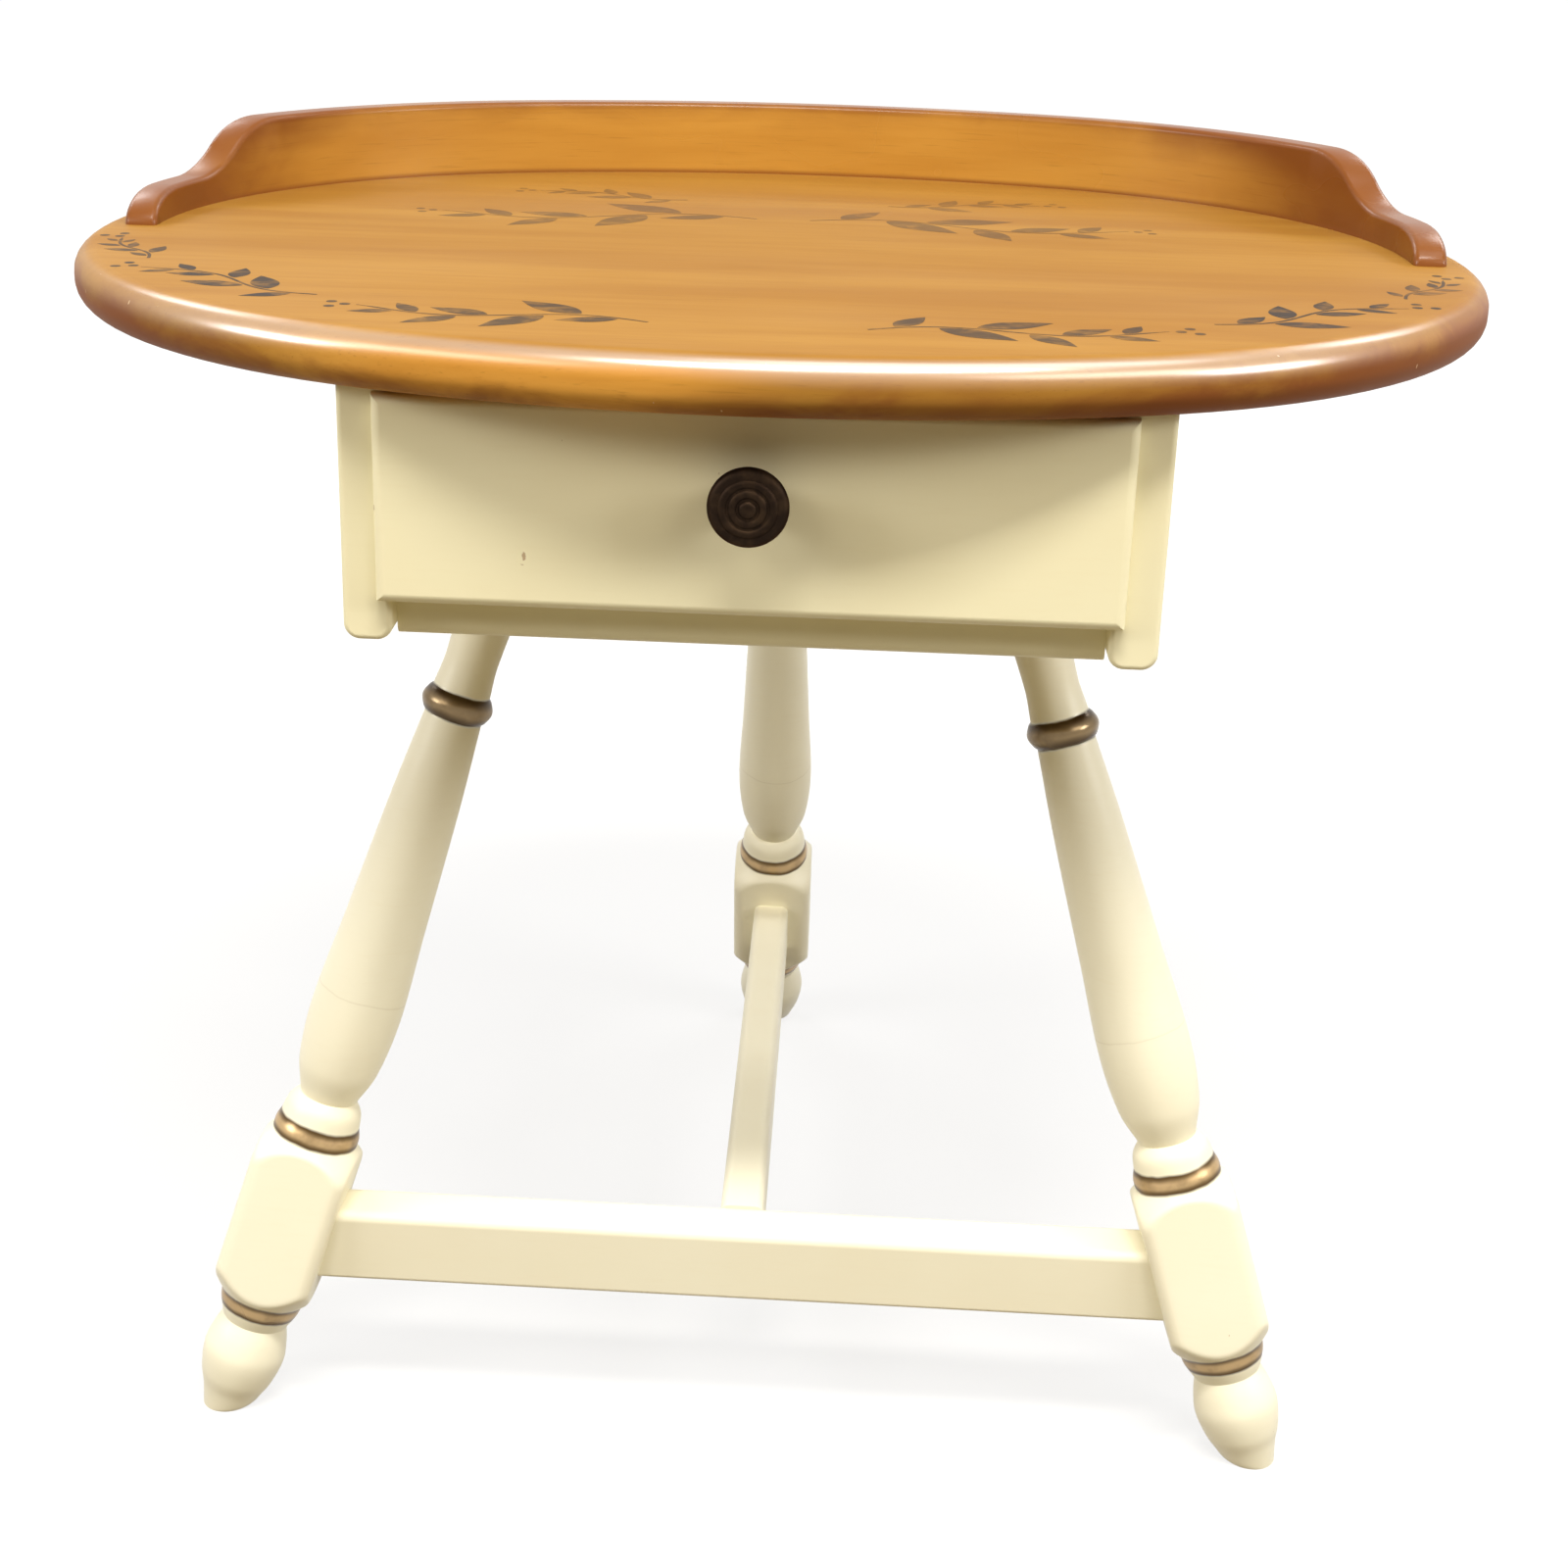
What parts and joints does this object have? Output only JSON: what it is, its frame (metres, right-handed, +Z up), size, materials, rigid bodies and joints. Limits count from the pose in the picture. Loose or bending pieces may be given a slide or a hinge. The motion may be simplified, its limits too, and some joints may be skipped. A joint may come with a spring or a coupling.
{
  "type": "tavern table",
  "caption": "Small tavern table with an oval galleried top, a drawer in a painted case, and turned splayed legs tied by a T-shaped stretcher",
  "frame": {"origin": "On the floor, at the middle of the table's whole outline, which runs from the top's front edge to the back foot", "axes": "+X along the top's length, to the right as the drawer is faced; -Y the drawer side; +Z up"},
  "size_m": [0.6818, 0.5992, 0.6275],
  "materials": {
    "maple": "satin varnish over honey-stained maple, burnished brown at the edges",
    "painted_wood": "satin cream paint over solid wood, with bronze-painted rings on the legs",
    "bare_poplar": "bare planed wood",
    "dowel_birch": "bare round dowel",
    "bronze": "dark oil-rubbed bronze",
    "screw_steel": "plain zinc-plated"
  },
  "bodies": {
    "frame": {"tabletop": "maple", "gallery": "maple", "gallery_dowels": "dowel_birch", "tabletop_screws": "screw_steel", "case_dowels": "dowel_birch", "left_side_panel": "painted_wood", "right_side_panel": "painted_wood", "bottom_board": "painted_wood", "back_panel": "painted_wood", "front_top_rail": "painted_wood", "left_kicker": "bare_poplar", "right_kicker": "bare_poplar", "left_runner": "bare_poplar", "right_runner": "bare_poplar", "middle_stretcher": "painted_wood", "front_stretcher": "painted_wood", "left_front_leg": "painted_wood", "right_front_leg": "painted_wood", "back_leg": "painted_wood"},
    "drawer": {"drawer_front": "painted_wood", "drawer_left_side": "bare_poplar", "drawer_right_side": "bare_poplar", "drawer_back": "bare_poplar", "drawer_bottom": "bare_poplar", "drawer_knob": "bronze", "knob_screw": "screw_steel"}
  },
  "joints": [
    {"name": "drawer_slide", "type": "slide", "parent": "frame", "child": "drawer", "axis": [0, -1, 0], "range_m": [0, 0.279]}
  ]
}
